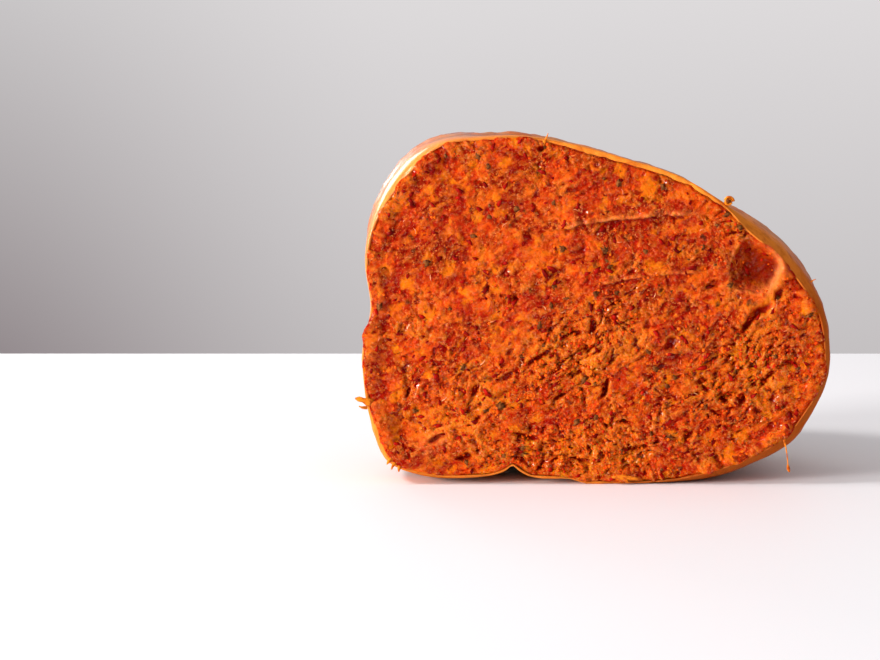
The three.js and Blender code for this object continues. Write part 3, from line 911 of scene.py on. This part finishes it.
# %% The small shapes
def small_shape(name, rings, tips):
    """A tiny closed shape, one unit across, from rings of points between two tips. It isn't shown itself."""
    sides = len(rings[0])
    points = [point for ring in rings for point in ring] + list(tips)
    faces = [face[::-1] for face in band_faces(len(rings), sides)]
    last = (len(rings) - 1) * sides
    faces += [((i + 1) % sides, i, len(points) - 2) for i in range(sides)]
    faces += [(last + i, last + (i + 1) % sides, len(points) - 1) for i in range(sides)]
    mesh = bpy.data.meshes.new(name)
    mesh.from_pydata(points, [], faces)
    return bpy.data.objects.new(name, mesh)


def ring_of(sides, radii, height, lean=(0, 0)):
    """One ring of a small shape."""
    angles = [2 * math.pi * i / sides for i in range(sides)]
    return [(r * math.cos(a) + lean[0], r * math.sin(a) + lean[1], height) for a, r in zip(angles, radii)]


dice = np.random.default_rng(7)
CRUMB_SIDES, FLAKE_SIDES, GRIT_SIDES, FIBRE_SIDES = 6, 7, 8, 4
FIBRE_RINGS = (  # height, radius, and how far the ring leans out of line
    (-0.42, 0.035, (0.10, 0)), (-0.2, 0.05, (-0.02, 0.03)), (0.05, 0.05, (-0.07, 0)),
    (0.28, 0.045, (-0.01, -0.05)), (0.46, 0.02, (0.12, -0.03)),
)

crumb = small_shape("crumb_shape", [
    ring_of(CRUMB_SIDES, 0.5 * dice.uniform(0.55, 0.9, CRUMB_SIDES), -0.25),
    ring_of(CRUMB_SIDES, 0.5 * dice.uniform(0.75, 1.1, CRUMB_SIDES), 0.02),
    ring_of(CRUMB_SIDES, 0.5 * dice.uniform(0.45, 0.85, CRUMB_SIDES), 0.24, (0.05, -0.04)),
], [(0, 0, -0.38), (0.04, 0, 0.36)])
flake_radii = 0.5 * dice.uniform(0.35, 1.2, FLAKE_SIDES)
flake = small_shape("flake_shape", [
    ring_of(FLAKE_SIDES, flake_radii * 0.94, -0.05), ring_of(FLAKE_SIDES, flake_radii, 0.05),
], [(0, 0, -0.02), (0, 0, 0.10)])
grit_bit = small_shape("grit_shape", [
    ring_of(GRIT_SIDES, 0.5 * dice.uniform(0.3, 1.2, GRIT_SIDES), height, dice.uniform(-0.1, 0.1, 2))
    for height in (-0.2, 0.0, 0.16)
], [(0, 0, -0.3), (-0.05, 0.06, 0.26)])
fibre = small_shape("fibre_shape", [
    ring_of(FIBRE_SIDES, [radius] * FIBRE_SIDES, height, off_line) for height, radius, off_line in FIBRE_RINGS
], [(0.16, 0, -0.5), (0.17, -0.02, 0.52)])

# %% [markdown]
# ### Finishes of the small pieces
# Dried chilli skin is a dark red film with a faint gloss. Spice grains, mostly ground black pepper and
# fennel, are dull and brown. Crumbs are the paste itself, and a little light goes through them, as it does
# through the pale shreds of meat fibre and the ragged bits of gut.

# %% Materials of the small pieces
def bit_material(name, dark, light, size_mm, roughness, subsurface):
    """A finish with two shades that change from piece to piece, and a rough grain."""
    material, tree = new_material(name)
    place = add_node(tree, "ShaderNodeTexCoord", {}).outputs["Object"]
    shade = add_node(tree, "ShaderNodeTexNoise", {"Vector": place, "Scale": per(size_mm), "Detail": 4.0})
    colour = paint_over(tree, linear(dark), ((shade, 0.38, 0.62, 1.0, light),))
    grain = add_node(tree, "ShaderNodeTexNoise", {"Vector": place, "Scale": per(0.5), "Detail": 3.0})
    bump = add_node(tree, "ShaderNodeBump", {"Height": grain, "Distance": 0.15 * MM, "Strength": 0.6})
    shader = add_node(tree, "ShaderNodeBsdfPrincipled", {
        "Base Color": colour, "Roughness": roughness, "Normal": bump, "Specular IOR Level": 0.06,
        "Subsurface Weight": subsurface, "Subsurface Radius": (1.0, 0.3, 0.1), "Subsurface Scale": 0.0008,
    })
    add_node(tree, "ShaderNodeOutputMaterial", {"Surface": shader})
    return material


crumb_finish = bit_material("minced_paste_crumb", "#C02002", "#FF6C10", 2.4, 0.5, 0.4)
chilli_finish = bit_material("dried_chilli_skin", "#660400", "#A81002", 3.0, 0.4, 0.0)
spice_finish = bit_material("ground_pepper_and_fennel", "#54240C", "#8A5024", 0.9, 0.7, 0.0)
fibre_finish = bit_material("shredded_meat_fibre", "#E0602A", "#FAA872", 4.0, 0.35, 0.2)

# %% Strew them
scatter("paste_crumbs", shape=crumb, finish=crumb_finish, per_square_metre=300000.0, smallest=0.4 * MM,
        largest=1.3 * MM, lift=0.02 * MM, tilt=0.9, follow_tears=0.95, seed=3)
scatter("chilli_flakes", shape=flake, finish=chilli_finish, per_square_metre=24000.0, smallest=0.8 * MM,
        largest=3.4 * MM, lift=0.04 * MM, tilt=0.3, follow_tears=0.2, seed=5)
scatter("spice_grains", shape=grit_bit, finish=spice_finish, per_square_metre=7000.0, smallest=0.4 * MM,
        largest=2.9 * MM, lift=-0.15 * MM, tilt=0.8, follow_tears=0.1, seed=11)
scatter("meat_fibres", shape=fibre, finish=fibre_finish, per_square_metre=12000.0, smallest=1.0 * MM,
        largest=3.2 * MM, lift=0.02 * MM, tilt=1.6, follow_tears=0.7, seed=13)

# %% [markdown]
# ## What the knife left at the edge
# Where the gut was cut through, bits of it curl, stick up or hang. Each is one small tapered ribbon with
# rounded sides: the same function makes a strand, a tuft, a torn flap and, along a spiral, the little roll
# at the corner. A peppercorn is caught in the roll.

# %% Shreds at the edge
RIBBON_SIDES = 8


def arch(start, middle, end, steps):
    """A smooth run of points from start to end, drawn towards the middle point."""
    t = np.linspace(0, 1, steps)[:, None]
    return (1 - t) ** 2 * np.array(start) + 2 * t * (1 - t) * np.array(middle) + t ** 2 * np.array(end)


def ribbon(path, widths, thickness, flat_towards):
    """Points and faces of a closed ribbon. widths run evenly along it, and its flat side looks one way."""
    run = np.gradient(path, axis=0)
    run /= np.linalg.norm(run, axis=1, keepdims=True)
    wide_way = np.cross(run, flat_towards)
    wide_way /= np.linalg.norm(wide_way, axis=1, keepdims=True)
    thick_way = np.cross(wide_way, run)
    half = np.interp(np.linspace(0, 1, len(path)), np.linspace(0, 1, len(widths)), widths) / 2
    angles = np.arange(RIBBON_SIDES) * 2 * math.pi / RIBBON_SIDES
    thin = np.minimum(thickness / 2, half)
    points = (path[:, None] + wide_way[:, None] * (np.cos(angles)[None] * half[:, None])[..., None]
              + thick_way[:, None] * (np.sin(angles)[None] * thin[:, None])[..., None])
    faces = band_faces(len(path), RIBBON_SIDES)
    last = (len(path) - 1) * RIBBON_SIDES
    faces += [tuple(range(RIBBON_SIDES)), tuple(range(last + RIBBON_SIDES - 1, last - 1, -1))]
    return points.reshape(-1, 3), faces


FLAT = (0, 1, 0)  # a shred's flat side faces along the sausage
SHREDS = (  # start, by way of, end, with y counted from the cut; points along it; widths; thickness; facing
    # a spike on the top edge
    ((-18.6, -0.2, 110.8), (-17.4, -0.9, 112.6), (-16.8, -0.6, 114.6), 10, (1.2, 0.7, 0.2), 0.35, FLAT),
    # a torn flake on the left flank, in two parts
    ((-74.0, -0.6, 26.6), (-76.6, -1.6, 28.2), (-79.2, -1.2, 28.4), 10, (2.8, 2.6, 1.5, 1.9, 0.5), 0.7, FLAT),
    ((-75.3, -0.8, 25.4), (-76.9, -1.4, 25.2), (-78.0, -1.0, 25.9), 10, (1.3, 0.9, 0.3), 0.5, FLAT),
    # ragged bits at the lower left
    ((-67.2, -0.4, 8.4), (-68.6, -1.3, 7.6), (-68.9, -1.0, 6.6), 10, (1.8, 1.4, 0.9, 0.3), 0.6, FLAT),
    ((-66.2, -0.4, 7.0), (-67.2, -1.3, 6.2), (-67.4, -1.0, 5.0), 10, (1.5, 1.2, 0.7, 0.5), 0.7, FLAT),
    ((-64.6, -0.4, 6.0), (-65.2, -1.2, 5.0), (-65.0, -0.9, 4.2), 10, (1.6, 1.0, 0.4), 0.6, FLAT),
    # a strand that hangs at the lower right, and its drop
    ((60.6, -0.2, 15.0), (61.6, -1.6, 10.5), (61.9, -1.2, 6.4), 16, (1.2, 0.5, 0.35, 0.4, 0.3), 0.45, FLAT),
    ((61.9, -1.2, 6.9), (61.8, -1.2, 5.6), (62.4, -1.2, 4.2), 10, (0.3, 0.9, 1.1, 0.5), 0.9, FLAT),
    # a tuft at the right
    ((69.0, 3, 66.0), (69.8, 3, 66.9), (70.6, 2.6, 67.0), 10, (0.7, 0.4, 0.15), 0.3, FLAT),
    # a flap underneath, in two parts
    ((4.5, -1.0, 2.4), (9.5, -2.6, 2.6), (14.5, -0.9, 1.5), 14, (0.6, 2.0, 1.6, 0.5), 0.7, (0.2, 1, 0.3)),
    ((8.6, -1.2, 2.2), (9.0, -2.8, 1.6), (9.6, -1.8, 0.7), 10, (1.6, 1.3, 0.6), 0.5, FLAT),
)
ROLL_AT = (41.6, 92.6)  # x and z of the little roll at the upper right corner
ROLL_TURNS, ROLL_RADIUS, ROLL_TIGHTENS = 1.7, 1.5, 0.34  # mm, and mm less in each half turn
PEPPER_AT, PEPPER_SIZE = (41.4, -1.5, 92.8), 2.2

roll_turn = np.linspace(0, 2 * ROLL_TURNS * math.pi, 34)
roll_radius = ROLL_RADIUS - ROLL_TIGHTENS * roll_turn / math.pi
roll_path = np.stack([ROLL_AT[0] + roll_radius * np.cos(roll_turn), 0 * roll_turn + cut_plane - 0.4,
                      ROLL_AT[1] + roll_radius * np.sin(roll_turn)], axis=-1)
shreds = [ribbon(roll_path, (2.6, 3.0, 2.4), 0.95, (0.02, 0, 1.0))]
for *corners, steps_along, widths, thickness_mm, facing in SHREDS:
    path = arch(*(np.array(corner) + [0, cut_plane, 0] for corner in corners), steps_along)
    shreds.append(ribbon(path, widths, thickness_mm, facing))
shred_points = np.concatenate([points for points, _ in shreds])
shred_faces, first = [], 0
for points, faces in shreds:
    shred_faces += [[int(corner) + first for corner in face] for face in faces]
    first += len(points)
shred_finish = bit_material("oiled_gut_shred", "#B04C10", "#F08A1E", 1.6, 0.35, 0.2)
gut_shreds = mesh_piece("gut_shreds", shred_points, shred_faces, {}, shred_finish)
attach(gut_shreds, "root")

bead_points = np.array([vertex.co for vertex in grit_bit.data.vertices]) * PEPPER_SIZE
bead_points += np.array(PEPPER_AT) + [0, cut_plane, 0]
bead_faces = [tuple(face.vertices) for face in grit_bit.data.polygons]
bead = mesh_piece("pepper_in_the_roll", bead_points, bead_faces, {}, spice_finish)
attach(bead, "root")
print("shreds:", len(shreds))
